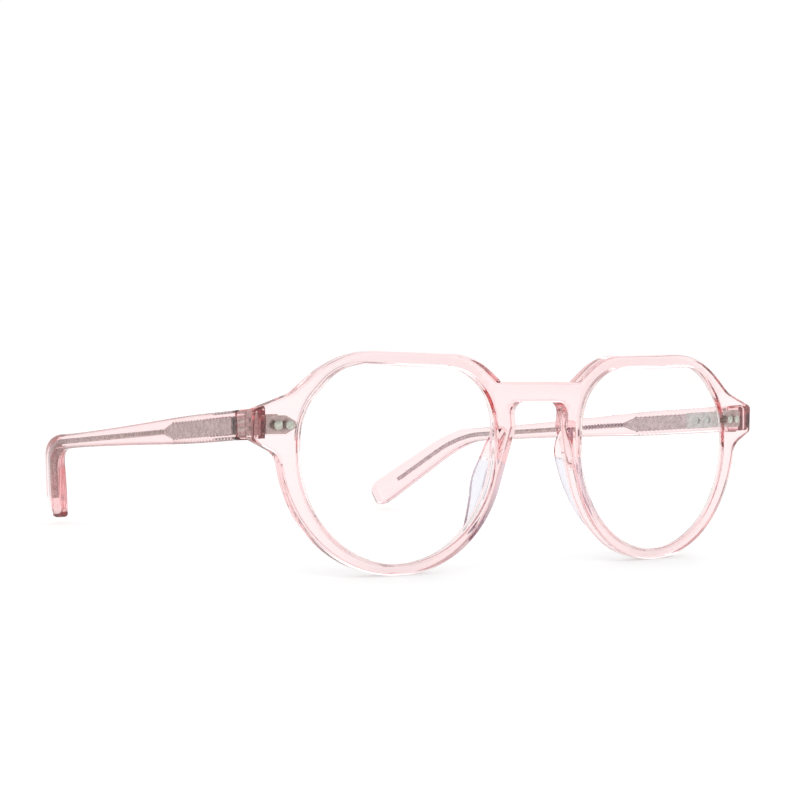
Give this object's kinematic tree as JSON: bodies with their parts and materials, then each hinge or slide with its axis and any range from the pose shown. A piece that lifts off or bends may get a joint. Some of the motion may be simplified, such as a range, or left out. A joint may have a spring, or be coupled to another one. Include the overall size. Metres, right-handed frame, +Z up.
{
  "type": "blue light glasses",
  "caption": "Full-rim spectacles with a clear pale pink acetate front, keyhole bridge, flat clear lenses and folding wire-core temples.",
  "frame": {"origin": "centre of the open glasses' bounding box, on the surface that the rims and temple tips stand on", "axes": "+X towards the wearer's left, +Y backwards along the temples, +Z up"},
  "size_m": [0.1434, 0.1282, 0.0469],
  "materials": {
    "acetate": "polished crystal pink acetate, transparent",
    "pad": "polished clear acetate",
    "lens": "clear, coated",
    "hinge_metal": "plated nickel silver",
    "rivet_metal": "polished domes",
    "core_metal": "satin wire core with a knurled blade"
  },
  "bodies": {
    "front": {"front_frame": "acetate", "lens_left": "lens", "lens_right": "lens", "nose_pad_left": "pad", "nose_pad_right": "pad", "front_hinge_left": "hinge_metal", "front_hinge_right": "hinge_metal", "front_rivets_left": "rivet_metal", "front_rivets_right": "rivet_metal", "hinge_screw_left": "hinge_metal", "hinge_screw_right": "hinge_metal"},
    "left_temple": {"temple_left": "acetate", "temple_core_left": "core_metal", "temple_hinge_left": "hinge_metal", "temple_rivets_left": "rivet_metal"},
    "right_temple": {"temple_right": "acetate", "temple_core_right": "core_metal", "temple_hinge_right": "hinge_metal", "temple_rivets_right": "rivet_metal"}
  },
  "joints": [
    {"name": "left_fold", "type": "hinge", "parent": "front", "child": "left_temple", "pos_m": [0.0664, -0.05177, 0.03132], "axis": [0, 0.1058, 0.9944], "range_deg": [0, 83]},
    {"name": "right_fold", "type": "hinge", "parent": "front", "child": "right_temple", "pos_m": [-0.0664, -0.05177, 0.03132], "axis": [0, -0.1058, -0.9944], "range_deg": [0, 74]}
  ]
}
